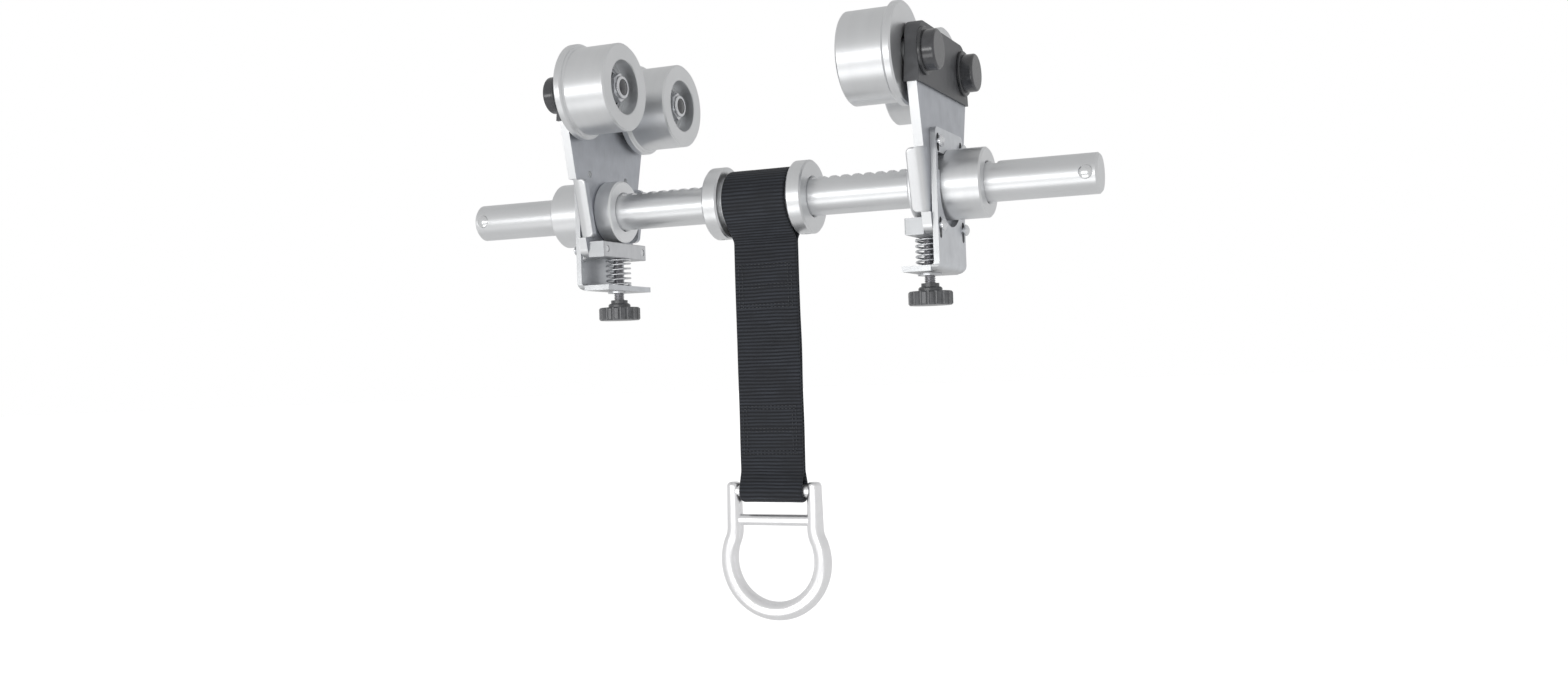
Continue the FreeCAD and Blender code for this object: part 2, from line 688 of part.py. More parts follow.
def lock_stud(side):
    body = new_body(f"lock_stud_{side.name}", x=side.x(size("stud_place")))
    radius = size("stud_radius")
    edge = radius / 5
    foot = -size("stud_foot")
    top = -size("block_top") - size("end_gap")
    sketch = new_sketch(body, "XZ_Plane")
    outline(sketch, [(ZERO, foot), (radius - edge, foot), (radius, foot + edge), (radius, top - edge),
                     (radius - edge, top), (ZERO, top)])
    revolve(body, "Revolution", sketch, "V_Axis")


def guide_screws(side):
    """Four domed screws that the lock plate slides on, two of them through the lock block."""
    lock_outer = size("lock_inner") + size("lock_thick") + size("guide_stand")
    radius = size("guide_radius")
    head = size("guide_head")
    tall = size("guide_head_height")
    brim = tall / 4
    curve = dome_curve(head, tall - brim)
    parts = []
    for row, height, inner in (("upper", size("guide_upper"), size("plate_inner") + size("guide_recess")),
                               ("lower", -size("guide_lower"), size("block_inner") + size("guide_start"))):
        for column, y in (("front", -size("guide_spread")), ("back", size("guide_spread"))):
            profile = [(side.x(inner), ZERO), (side.x(inner), radius), (side.x(lock_outer), radius),
                       (side.x(lock_outer), head),
                       (side.x(lock_outer + brim), head, side.x(-curve)),
                       (side.x(lock_outer + tall), ZERO)]
            parts.append(turned(f"guide_screw_{side.name}_{row}_{column}", profile, y=y, z=height))
    group(f"guide_screws_{side.name}", parts)


def group(label, parts):
    """One sub-part made of several separate solids, which keep their own places."""
    joined = doc.addObject("Part::Compound", label)
    joined.Label = label
    joined.Links = parts
    for part in parts:
        finished.remove(part)
    finished.append(joined)


# ---- axles and bearings ------------------------------------------------------------------------

def axle_bolts(side):
    """Shank of each bolt from its end in the roller's recess out to its round capped head."""
    head_inner = size("cap_outer") + size("washer_thick")
    head_outer = head_inner + size("bolt_head")
    head = size("bolt_head_radius")
    corner = size("bolt_head_round")
    shank_end = size("roller_inner") + size("bolt_short")
    radius = size("axle_radius")
    curve = dome_curve(radius, size("bolt_end"))
    rim = side.x(head_outer)
    parts = []
    for name, y in ROLLERS:
        profile = [(side.x(head_inner), head), (rim, head), (rim, ZERO),
                   (side.x(shank_end), ZERO, side.x(-curve)),
                   (side.x(shank_end + size("bolt_end")), radius), (side.x(head_inner), radius)]
        body = turned(f"axle_bolt_{side.name}_{name}", profile, y=y, z=size("roller_rise"))
        soften(body, "Fillet", corner, lambda p, e: near(p.x, rim) and e.BoundBox.DiagonalLength > head.value)
        parts.append(body)
    group(f"axle_bolts_{side.name}", parts)


def axle_nuts(side):
    """Locking nuts in the rollers' recesses: a hexagon and a round collar."""
    floor = size("roller_inner") + size("recess_depth") - size("nut_seat")
    collar = floor - size("nut_height")
    end = collar - size("nut_collar_height")
    parts = []
    for name, y in ROLLERS:
        body = new_body(f"axle_nut_{side.name}_{name}", y=y, z=size("roller_rise"))
        side.slab(body, collar, floor, lambda sketch: hexagon(sketch, size("nut_flats")))
        side.slab(body, end, collar + size("nut_join"),
                  lambda sketch: circle(sketch, ZERO, ZERO, size("nut_collar")))
        rim = side.x(end)
        soften(body, "Fillet", size("nut_collar_round"), lambda p, e: near(p.x, rim))
        side.slab(body, end - 1, floor + 1,
                  lambda sketch: circle(sketch, ZERO, ZERO, size("axle_room")), "Pocket")
        parts.append(body)
    group(f"axle_nuts_{side.name}", parts)


def axle_rings(side):
    """Washers, spacers and inner bearing rings, which stay still on the two bolts."""
    bore = size("axle_room")
    floor = size("roller_inner") + size("recess_depth")
    race_end = floor + size("bearing_width")
    head_inner = size("cap_outer") + size("washer_thick")
    for label, inner, outer, outside, edge in (
            ("bolt_washers", size("cap_outer"), head_inner, size("washer_radius"), size("washer_edge")),
            ("axle_spacers", race_end, size("cap_inner"), size("race_outer"), ZERO),
            ("bearing_inner_rings", floor - size("nut_seat"), race_end, size("race_outer"), ZERO)):
        parts = []
        for name, y in ROLLERS:
            parts.append(side.ring(f"{label}_{side.name}_{name}", inner, outer, bore, outside, edge,
                                   y=y, z=size("roller_rise")))
        group(f"{label}_{side.name}", parts)


def roller(side, name, y):
    body = new_body(f"roller_{name}_{side.name}", y=y, z=size("roller_rise"))
    inner = size("roller_inner")
    outer = size("roller_outer")
    tread = size("tread_radius")
    flange = size("flange_radius")
    recess = inner + size("recess_depth")
    seat = recess + size("bearing_width")
    flange_start = outer - size("flange_width")
    edge = size("roller_edge")
    gap = size("face_gap")
    profile = [
        (inner, size("recess_radius") + edge / 2), (inner, tread - edge), (inner + edge, tread),
        (flange_start - edge, tread), (flange_start, tread + edge), (flange_start, flange - edge),
        (flange_start + edge, flange), (outer - edge, flange), (outer, flange - edge),
        (outer, size("bearing_shoulder")), (seat + gap, size("bearing_shoulder")),
        (seat + gap, size("bearing_radius") + size("seat_gap")),
        (recess, size("bearing_radius") + size("seat_gap")),
        (recess, size("recess_radius")), (inner + edge / 2, size("recess_radius"))]
    sketch = new_sketch(body, "XY_Plane")
    outline(sketch, [(side.x(distance), radius) for distance, radius in profile])
    revolve(body, "Revolution", sketch)
    side.ring(f"bearing_ring_{name}_{side.name}", recess + gap, seat, size("race_ring"),
              size("bearing_radius"), size("bearing_edge"), y=y, z=size("roller_rise"))


def bearing_balls(side, name, y):
    """Two rows of balls between the bearing's rings."""
    middle = size("roller_inner") + size("recess_depth") + size("bearing_width") / 2
    track = (size("race_outer") + size("race_ring")) / 2
    count = int(size("ball_count").value)
    balls = []
    for row in (-1, 1):
        across = middle + size("ball_row") * row / 2
        for step in range(count):
            turn = Length(360 * step / count, f"({step} * 360 / Sizes.ball_count)")
            ball = doc.addObject("Part::Sphere", f"ball_{name}_{side.name}_{step}")
            ball.setExpression("Radius", "Sizes.ball_radius")
            place(ball, side.x(across), y + track * cos(turn), size("roller_rise") + track * sin(turn))
            balls.append(ball)
    group(f"bearing_balls_{name}_{side.name}", balls)


# ---- lock --------------------------------------------------------------------------------------

def lock_plate(side):
    """Bent plate: the window's head carries the tooth, and the foot is bent in as a shelf."""
    body = new_body(f"lock_plate_{side.name}")
    inner = size("lock_inner")
    outer = inner + size("lock_thick")
    top = size("lock_top")
    foot = -size("shelf_bottom")
    shelf = foot + size("lock_thick")
    half = size("lock_half")
    sketch = new_sketch(body, "XZ_Plane")
    outline(sketch, [(side.x(size("shelf_inner")), foot), (side.x(outer), foot), (side.x(outer), top),
                     (side.x(inner), top), (side.x(inner), shelf), (side.x(size("shelf_inner")), shelf)])
    extrude(body, "Pad", sketch, half * 2, middle=True)
    soften(body, "Fillet", size("lock_corner"), lambda p, e: along_x(e) and near(p.z, top))
    outside = side.x(outer)
    inside = side.x(inner)
    soften(body, "Fillet", size("shelf_bend"), lambda p, e: near(p.x, outside) and near(p.z, foot))
    soften(body, "Fillet", size("shelf_bend") - size("lock_thick"),
           lambda p, e: near(p.x, inside) and near(p.z, shelf))
    corner = size("lock_corner")

    def feet(sketch):
        for hand in (-1, 1):
            outline(sketch, [(half * hand, foot + corner, corner * -hand), ((half - corner) * hand, foot),
                             ((half + 1) * hand, foot), ((half + 1) * hand, foot + corner)])

    side.slab(body, outer - size("shelf_bend"), outer + 1, feet, "Pocket")
    radius = size("window_radius")
    drop = -size("window_drop")
    ear = size("window_ear")
    ear_foot = size("window_ear_foot")
    head = size("window_head")
    tooth = size("tooth_half")
    tip = size("tooth_tip")

    def window(sketch):
        outline(sketch, [
            (-radius, drop, radius), (ZERO, drop - radius, radius), (radius, drop), (radius, ear_foot),
            (ear, ear_foot), (ear, head), (tooth, head), (tooth, tip), (-tooth, tip), (-tooth, head),
            (-ear, head), (-ear, ear_foot), (-radius, ear_foot)])

    side.slab(body, inner - 1, outer + 1, window, "Pocket")
    room = size("guide_room")

    def guide_slots(sketch):
        for height, down in ((size("guide_upper"), size("guide_down")),
                             (-size("guide_lower"), size("guide_down_lower"))):
            high = height + size("guide_up")
            low = height - down
            for hand in (-1, 1):
                y = size("guide_spread") * hand
                outline(sketch, [(y + room, low), (y + room, high, room), (y, high + room, room),
                                 (y - room, high), (y - room, low, room), (y, low - room, room)])

    side.slab(body, inner - 1, outer + 1, guide_slots, "Pocket")
    sketch = new_sketch(body, "XY_Plane", shelf + 1)
    circle(sketch, side.x(size("stud_place")), ZERO, size("stud_room"))
    extrude(body, "Pocket", sketch, size("lock_thick") + 2)


def upright_ring(label, side, low, high, inside, outside):
    """Ring about the stud's axis, with heights measured from the bar's axis."""
    body = new_body(label, x=side.x(size("stud_place")))
    sketch = new_sketch(body, "XZ_Plane")
    outline(sketch, [(v, u) for u, v in sleeve(low, high, inside, outside)])
    revolve(body, "Revolution", sketch, "V_Axis")
    return body


def lock_spring(side):
    """Compression spring round the stud, between the lock block and the shelf."""
    label = f"lock_spring_{side.name}"
    helix = doc.addObject("Part::Helix", f"{label}_path")
    helix.setExpression("Pitch", "Sizes.spring_pitch")
    helix.setExpression("Height", "Sizes.spring_pitch * Sizes.spring_coils")
    helix.setExpression("Radius", "Sizes.spring_radius")
    wire = doc.addObject("Part::Circle", f"{label}_section")
    wire.setExpression("Radius", "Sizes.spring_wire")
    wire.Placement.Rotation = FreeCAD.Rotation(FreeCAD.Vector(1, 0, 0), 90)
    wire.setExpression("Placement.Base.x", "Sizes.spring_radius")
    spring = doc.addObject("Part::Sweep", label)
    spring.Label = label
    spring.Sections = [wire]
    spring.Spine = (helix, [])
    spring.Solid = True
    spring.Frenet = True
    place(spring, side.x(size("stud_place")), ZERO,
          -size("shelf_bottom") + size("lock_thick") + size("spring_wire") + size("face_gap"))


def knob(side):
    body = new_body(f"knob_{side.name}", x=side.x(size("stud_place")))
    top = -size("knob_top")
    step = -size("knob_step")
    rim = -size("knob_rim_top")
    foot = -size("knob_bottom")
    bore = size("insert_radius") + size("insert_gap")
    bore_foot = -size("knob_bore_foot")
    neck = size("knob_neck_radius")
    hub = size("knob_hub_radius")
    wide = size("knob_rim_radius")
    edge = size("knob_edge")
    sketch = new_sketch(body, "XZ_Plane")
    outline(sketch, [(ZERO, foot), (wide - edge, foot), (wide, foot + edge), (wide, rim - edge),
                     (wide - edge, rim), (hub, rim), (hub, step - edge), (hub - edge, step), (neck, step),
                     (neck, top), (bore, top), (bore, bore_foot), (ZERO, bore_foot)])
    revolve(body, "Revolution", sketch, "V_Axis")
    sketch = new_sketch(body, "XY_Plane", rim + 1)
    circle(sketch, wide + size("knob_groove_out"), ZERO, size("knob_groove"))
    groove = extrude(body, "Pocket", sketch, size("knob_bottom") - size("knob_rim_top") + 2)
    lobes = body.newObject("PartDesign::PolarPattern", f"{body.Name}_lobes")
    lobes.Originals = [groove]
    lobes.Axis = (sketch, ["N_Axis"])
    lobes.Angle = 360
    lobes.setExpression("Occurrences", "Sizes.knob_lobes")
    body.Tip = lobes


# ---- spool, sling and D-ring -------------------------------------------------------------------

def spool():
    """Hub on the bar, and a flange on each end of it, held by a grub screw from below."""
    hub = size("hub_radius")
    half = size("spool_half")
    throat = size("spool_throat")
    rim = size("spool_radius")
    reach = half - size("bore_lip") - size("seat_gap")
    turned("spool_hub", sleeve(-reach, reach, bar_radius + size("running_gap"), hub))
    grubs = []
    for side in SIDES:
        body = side.lipped_ring(f"spool_flange_{side.name}", throat, half, hub, rim, size("spool_edge"))
        middle = (throat + half) / 2
        sketch = new_sketch(body, "XY_Plane", -hub)
        circle(sketch, side.x(middle), ZERO, size("grub_radius") + size("seat_gap"))
        extrude(body, "Pocket", sketch, rim)
        grub = new_body(f"grub_{side.name}", x=side.x(middle), z=size("grub_depth") - rim)
        sketch = new_sketch(grub, "XY_Plane")
        circle(sketch, ZERO, ZERO, size("grub_radius"))
        extrude(grub, "Pad", sketch, rim - hub - size("grub_depth") - size("seat_gap"))
        grubs.append(grub)
    group("spool_grub_screws", grubs)


def strap():
    """Sling of two sewn layers, looped over the spool's hub and round the D-ring's pin."""
    body = new_body("strap")
    inner = size("hub_radius") + size("strap_gap")
    outer = inner + size("strap_layer")
    thick = size("strap_layer")
    leave = size("strap_leave")
    meet = -size("strap_meet")
    eye = -size("eye_drop")
    eye_inner = size("eye_radius")
    eye_outer = eye_inner + thick
    eye_leave = size("eye_leave")
    eye_meet = -size("eye_meet")
    sketch = new_sketch(body, "YZ_Plane")
    outline(sketch, [
        (outer * cos(leave), -(outer * sin(leave)), outer), (ZERO, outer, outer),
        (-(outer * cos(leave)), -(outer * sin(leave))), (-thick, meet), (-thick, eye_meet),
        (-(eye_outer * cos(eye_leave)), eye + eye_outer * sin(eye_leave), eye_outer),
        (ZERO, eye - eye_outer, eye_outer),
        (eye_outer * cos(eye_leave), eye + eye_outer * sin(eye_leave)),
        (thick, eye_meet), (thick, meet)])
    extrude(body, "Pad", sketch, size("strap_width"), middle=True)
    sketch = new_sketch(body, "YZ_Plane")
    outline(sketch, [
        (inner * cos(leave), -(inner * sin(leave)), inner), (ZERO, inner, inner),
        (-(inner * cos(leave)), -(inner * sin(leave))), (ZERO, meet + thick)])
    outline(sketch, [
        (-(eye_inner * cos(eye_leave)), eye + eye_inner * sin(eye_leave), eye_inner),
        (ZERO, eye - eye_inner, eye_inner),
        (eye_inner * cos(eye_leave), eye + eye_inner * sin(eye_leave)), (ZERO, eye_meet - thick)])
    extrude(body, "Pocket", sketch, size("strap_width") + 2, middle=True)


def d_ring():
    """Bow that swells towards its foot, two straight legs with rounded tops and a cross bar."""
    body = new_body("d_ring")
    leg = size("ring_leg_place")
    top = -size("ring_leg_top")
    leg_foot = -size("ring_leg_foot")
    radius = size("ring_leg_radius")
    centre = -size("ring_bow_centre")
    bow = size("ring_bow_radius")
    angle = size("ring_neck_angle")
    neck = size("ring_neck_radius")
    path = new_sketch(body, "XZ_Plane")
    outline(path, [
        (-leg, top), (-leg, leg_foot, -neck),
        (-(bow * cos(angle)), centre + bow * sin(angle), bow), (ZERO, centre - bow, bow),
        (bow * cos(angle), centre + bow * sin(angle), -neck), (leg, leg_foot), (leg, top)], closed=False)
    first = new_sketch(body, "XY_Plane", top)
    circle(first, -leg, ZERO, radius)
    foot = new_sketch(body, "YZ_Plane")
    circle(foot, ZERO, centre - bow, size("ring_bow_section"))
    last = new_sketch(body, "XY_Plane", top)
    circle(last, leg, ZERO, radius)
    pipe = body.newObject("PartDesign::AdditivePipe", "d_ring_bow")
    pipe.Profile = first
    pipe.Spine = path
    pipe.Transformation = "Multisection"
    pipe.Sections = [foot, last]
    body.Tip = pipe
    soften(body, "Fillet", size("ring_top_round"), lambda p, e: near(p.z, top))
    sketch = new_sketch(body, "YZ_Plane")
    circle(sketch, ZERO, -size("ring_bar_drop"), size("ring_bar_radius"))
    extrude(body, "Pad", sketch, leg * 2, middle=True)
    sketch = new_sketch(body, "YZ_Plane")
    circle(sketch, ZERO, -size("eye_drop"), size("ring_pin_radius") + size("running_gap"))
    extrude(body, "Pocket", sketch, leg * 2, middle=True)


def d_ring_pin():
    half = size("ring_leg_place") - size("end_gap")
    turned("d_ring_pin", sleeve(-half, half, ZERO, size("ring_pin_radius"), size("ring_pin_edge")),
           z=-size("eye_drop"))


# ---- the whole trolley -------------------------------------------------------------------------

notched_bar()
spool()
strap()
d_ring()
d_ring_pin()
for side in SIDES:
    stop_pin(side)
    side_plate(side)
    bumper_cap(side)
    collars(side)
    lock_block(side)
    lock_stud(side)
    guide_screws(side)
    axle_bolts(side)
    axle_nuts(side)
    axle_rings(side)
    lock_plate(side)
    upright_ring(f"shelf_washer_{side.name}", side, -size("shelf_bottom") - size("shelf_washer_thick"),
                 -size("shelf_bottom"), size("stud_room"), size("shelf_washer_radius"))
    lock_spring(side)
    upright_ring(f"knob_insert_{side.name}", side, -size("insert_foot"), -size("insert_top"),
                 size("stud_radius") + size("insert_gap"), size("insert_radius"))
    knob(side)
    for name, y in ROLLERS:
        roller(side, name, y)
        bearing_balls(side, name, y)

doc.recompute()
for item in doc.Objects:
    if {"Invalid", "Error"} & set(item.State):
        raise RuntimeError(f"{item.Label} failed: {item.State}")
for item in finished:
    if item.Shape.isNull() or not item.Shape.isValid():
        raise RuntimeError(f"{item.Label} has no valid shape")
os.makedirs("parts", exist_ok=True)
for item in finished:
    item.Shape.exportStep(f"parts/{item.Label}.step")
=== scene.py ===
import math

import bpy
from mathutils import Matrix, Vector, noise


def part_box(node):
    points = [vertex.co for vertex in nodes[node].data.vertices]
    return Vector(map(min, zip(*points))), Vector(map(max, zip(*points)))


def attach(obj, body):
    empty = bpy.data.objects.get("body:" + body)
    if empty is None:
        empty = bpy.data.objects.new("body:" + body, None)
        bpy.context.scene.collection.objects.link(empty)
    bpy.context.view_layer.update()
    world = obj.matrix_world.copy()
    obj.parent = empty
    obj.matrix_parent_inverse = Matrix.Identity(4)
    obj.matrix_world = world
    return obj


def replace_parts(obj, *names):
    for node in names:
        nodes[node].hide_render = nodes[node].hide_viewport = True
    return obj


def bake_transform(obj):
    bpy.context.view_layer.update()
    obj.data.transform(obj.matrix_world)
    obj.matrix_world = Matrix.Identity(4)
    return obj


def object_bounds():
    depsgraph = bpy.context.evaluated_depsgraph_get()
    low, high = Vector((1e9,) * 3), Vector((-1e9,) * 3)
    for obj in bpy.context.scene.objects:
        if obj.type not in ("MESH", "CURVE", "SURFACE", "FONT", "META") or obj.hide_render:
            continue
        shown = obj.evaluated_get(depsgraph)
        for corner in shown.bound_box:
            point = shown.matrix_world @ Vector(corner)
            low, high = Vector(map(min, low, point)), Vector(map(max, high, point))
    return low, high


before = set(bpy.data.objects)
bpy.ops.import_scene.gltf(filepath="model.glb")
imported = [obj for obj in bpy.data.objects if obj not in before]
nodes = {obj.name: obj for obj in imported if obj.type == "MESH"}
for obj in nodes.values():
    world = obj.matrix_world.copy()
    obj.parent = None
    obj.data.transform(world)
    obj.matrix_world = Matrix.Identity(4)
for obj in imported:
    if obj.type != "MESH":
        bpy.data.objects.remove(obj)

cad_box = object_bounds()

MM = 0.001
MICRON = 0.000001
SIDES = (("left", -1), ("right", 1))


# ---------------------------------------------------------------- places taken from the frame

def centre(node):
    low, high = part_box(node)
    return (low + high) / 2


AXIS = (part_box("stop_pin_left")[0].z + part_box("stop_pin_left")[1].z) / 2
PIN = centre("d_ring_pin")
BAR_RADIUS = (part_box("bar")[1].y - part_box("bar")[0].y) / 2
STRAP_LOW, STRAP_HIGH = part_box("strap")


# ---------------------------------------------------------------- finishes

ROUND_LIKENESS = 0.97
ROUND_SHARE = 0.99


class Finish:
    """A material whose shader is fed by procedural nodes in the object's own coordinates."""

    def __init__(self, name, **constants):
        self.material = bpy.data.materials.new(name)
        self.material.use_nodes = True
        self.tree = self.material.node_tree
        self.shader = self.tree.nodes["Principled BSDF"]
        for socket, value in constants.items():
            self.shader.inputs[socket.replace("_", " ")].default_value = value
        self.coordinates = self.add("TexCoord")
        self.normal = None

    def add(self, kind, inputs=(), **settings):
        made = self.tree.nodes.new("ShaderNode" + kind)
        for key, value in settings.items():
            setattr(made, key, value)
        for socket, value in dict(inputs).items():
            self.feed(made.inputs[socket], value)
        return made

    def feed(self, socket, value):
        if isinstance(value, bpy.types.NodeSocket):
            self.tree.links.new(value, socket)
        else:
            socket.default_value = value

    def grain(self, size, stretch=(1, 1, 1), detail=3.0):
        """Noise with grains about size metres across, longer along the stretched axes."""
        scale = [1 / (size * s) for s in stretch]
        spot = self.add("Mapping", {"Vector": self.coordinates.outputs["Object"], "Scale": scale})
        made = self.add("TexNoise", {"Vector": spot.outputs["Vector"], "Scale": 1.0, "Detail": detail})
        return made.outputs["Fac"]

    def spread(self, value, low, high, start=0.3, end=0.7):
        """value from start to end becomes low to high."""
        made = self.add("MapRange", {"Value": value, "From Min": start, "From Max": end,
                                     "To Min": low, "To Max": high})
        return made.outputs["Result"]

    def math(self, operation, a, b=0.0, c=0.0):
        return self.add("Math", {0: a, 1: b, 2: c}, operation=operation).outputs[0]

    def sum(self, *parts):
        """Weighted sum of (value, weight) pairs."""
        total = 0.0
        for value, weight in parts:
            total = self.math("MULTIPLY_ADD", value, weight, total)
        return total

    def tones(self, value, dark, light, start=0.3, end=0.7):
        """value from start to end becomes the dark to the light colour."""
        made = self.add("ValToRGB", {"Fac": value})
        for stop, spot, colour in zip(made.color_ramp.elements, (start, end), (dark, light)):
            stop.position = spot
            stop.color = (*colour, 1)
        return made.outputs["Color"]

    def blend(self, share, first, second):
        made = self.add("Mix", data_type="RGBA")
        self.feed(made.inputs[0], share)
        self.feed(made.inputs[6], first)
        self.feed(made.inputs[7], second)
        return made.outputs[2]

    def round_bar(self, height, radius):
        """Exact shading normal on a bar along X at that height; faces cut into it keep their own."""
        place = self.add("VectorMath", {0: self.coordinates.outputs["Object"], 1: (0, 0, -height)}).outputs[0]
        across = self.add("VectorMath", {0: place, 1: (0, 1, 1)}, operation="MULTIPLY").outputs[0]
        distance = self.add("VectorMath", {0: across}, operation="LENGTH").outputs["Value"]
        outward = self.add("VectorMath", {0: across}, operation="NORMALIZE").outputs[0]
        turned = self.add("VectorTransform", {"Vector": outward}, vector_type="NORMAL",
                          convert_from="OBJECT", convert_to="WORLD").outputs[0]
        surface = self.add("NewGeometry")
        likeness = self.add("VectorMath", {0: turned, 1: surface.outputs["True Normal"]},
                            operation="DOT_PRODUCT").outputs["Value"]
        round_here = self.math("MULTIPLY", self.math("GREATER_THAN", likeness, ROUND_LIKENESS),
                               self.math("GREATER_THAN", distance, radius * ROUND_SHARE))
        mixed = self.add("Mix", data_type="VECTOR")
        self.feed(mixed.inputs[0], round_here)
        self.feed(mixed.inputs[4], surface.outputs["Normal"])
        self.feed(mixed.inputs[5], turned)
        self.normal = mixed.outputs[1]

    def relief(self, height, depth):
        """Adds a bump of that depth in metres to the ones before it."""
        made = self.add("Bump", {"Height": height, "Distance": depth, "Strength": 1.0})
        if self.normal:
            self.feed(made.inputs["Normal"], self.normal)
        self.normal = made.outputs["Normal"]

    def done(self, colour, roughness):
        self.feed(self.shader.inputs["Base Color"], colour)
        self.feed(self.shader.inputs["Roughness"], roughness)
        if self.normal:
            self.feed(self.shader.inputs["Normal"], self.normal)
        return self.material


def shade(colour, share):
    return tuple(c * share for c in colour)


def satin(name, colour, roughness, marks, fine=1.1 * MM, depth=3 * MICRON, bar=None):
    """Machined, plated metal: fine marks stretched along the given axes, and faint cloudy patches."""
    finish = Finish(name, Metallic=0.92)
    if bar:
        finish.round_bar(*bar)
    clouds = finish.grain(30 * MM)
    lines = finish.grain(fine, marks, detail=1)
    streaks = finish.grain(6 * MM, marks, detail=2)
    finish.relief(lines, depth)
    mixed = finish.sum((clouds, 0.55), (streaks, 0.45))
    return finish.done(finish.tones(mixed, shade(colour, 0.93), colour),
                       finish.spread(mixed, roughness + 0.03, roughness - 0.02))


def sheet_steel(name, face, edge):
    """Zinc-plated plate: blue-grey mottled faces across X; every face not across X, the cut sides, takes the
    second tone instead, which is painted light: a painted highlight where it is brighter, painted shade where
    it is darker.
    """
    finish = Finish(name, Metallic=0.85)
    across = finish.add("SeparateXYZ", {0: finish.coordinates.outputs["Normal"]}).outputs["X"]
    on_face = finish.spread(finish.math("ABSOLUTE", across), 0.0, 1.0, 0.55, 0.9)
    clouds = finish.grain(12 * MM, detail=5)
    rolled = finish.grain(1.2 * MM, ROLLED_Z)
    finish.relief(rolled, 5 * MICRON)
    finish.relief(finish.grain(0.8 * MM, detail=1), 3 * MICRON)
    mixed = finish.sum((clouds, 0.7), (rolled, 0.3))
    faces = finish.tones(mixed, shade(face, 0.84), face)
    # Painted light: faces not across X get this tone in place of the plate's own, standing in for how the
    # lamps fall on the cut sides.
    edge_painted_tone = finish.tones(mixed, shade(edge, 0.93), edge)
    rough = finish.math("ADD", finish.spread(mixed, 0.02, -0.03), finish.spread(on_face, 0.33, 0.42, 0, 1))
    return finish.done(finish.blend(on_face, edge_painted_tone, faces), rough)


def moulded(name, colour, roughness, pebble, depth, gloss=0.45):
    """Moulded plastic, rubber or blacked steel: finely pebbled, scuffed lighter in places."""
    finish = Finish(name, Specular_IOR_Level=gloss)
    scuffs = finish.grain(6 * MM, detail=6)
    finish.relief(finish.grain(pebble, detail=2), depth)
    return finish.done(finish.tones(scuffs, shade(colour, 0.75), shade(colour, 1.25)),
                       finish.spread(scuffs, roughness - 0.06, roughness + 0.06))


def webbing(name, rib_hollow_painted_shade, rib_top_painted_light, yarn):
    """Woven polyester: ribs across the strap, one for each unit of v, bound by yarns yarn metres apart. The
    colour goes dark in the hollows between ribs and light on the rib tops, and faintly so on the yarns:
    painted shade and painted highlight on the weave.
    """
    finish = Finish(name, Sheen_Weight=0.03, Sheen_Roughness=0.5, Specular_IOR_Level=0.3)
    parts = finish.add("SeparateXYZ", {0: finish.coordinates.outputs["UV"]})
    across, along = parts.outputs["X"], parts.outputs["Y"]
    sway = finish.spread(finish.grain(12 * MM, (2, 1, 1), detail=2), -0.12, 0.12)
    half_turns = finish.math("MULTIPLY", finish.math("ADD", along, sway), math.pi)
    rib = finish.math("ABSOLUTE", finish.math("COSINE", half_turns))
    warp = finish.math("MULTIPLY", across, 2 * math.pi / yarn)
    yarns = finish.math("ABSOLUTE", finish.math("SINE", finish.math("ADD", warp, half_turns)))
    fuzz = finish.grain(0.6 * MM, (3, 1, 1))
    dust = finish.grain(8 * MM, (2.5, 1, 1), detail=4)
    finish.relief(finish.math("MULTIPLY", yarns, rib), 60 * MICRON)
    finish.relief(fuzz, 30 * MICRON)
    lively = finish.math("MULTIPLY", rib, finish.spread(dust, 0.62, 1.1))
    # Painted light: the rib and yarn shape sets the colour, painted shade in the hollows and painted
    # highlight on the tops.
    mixed = finish.sum((lively, 0.8), (yarns, 0.08), (fuzz, 0.12))
    return finish.done(finish.tones(mixed, rib_hollow_painted_shade, rib_top_painted_light, 0.35, 0.95), finish.spread(dust, 0.62, 0.78))


# How far the fine marks of a finish stretch along X, Y and Z.
DRAWN_X = (40, 1, 1)
ROUND_X = (1, 40, 40)
ROUND_Z = (40, 40, 1)
ROLLED_Z = (1, 1, 14)
EVEN = (1, 1, 1)

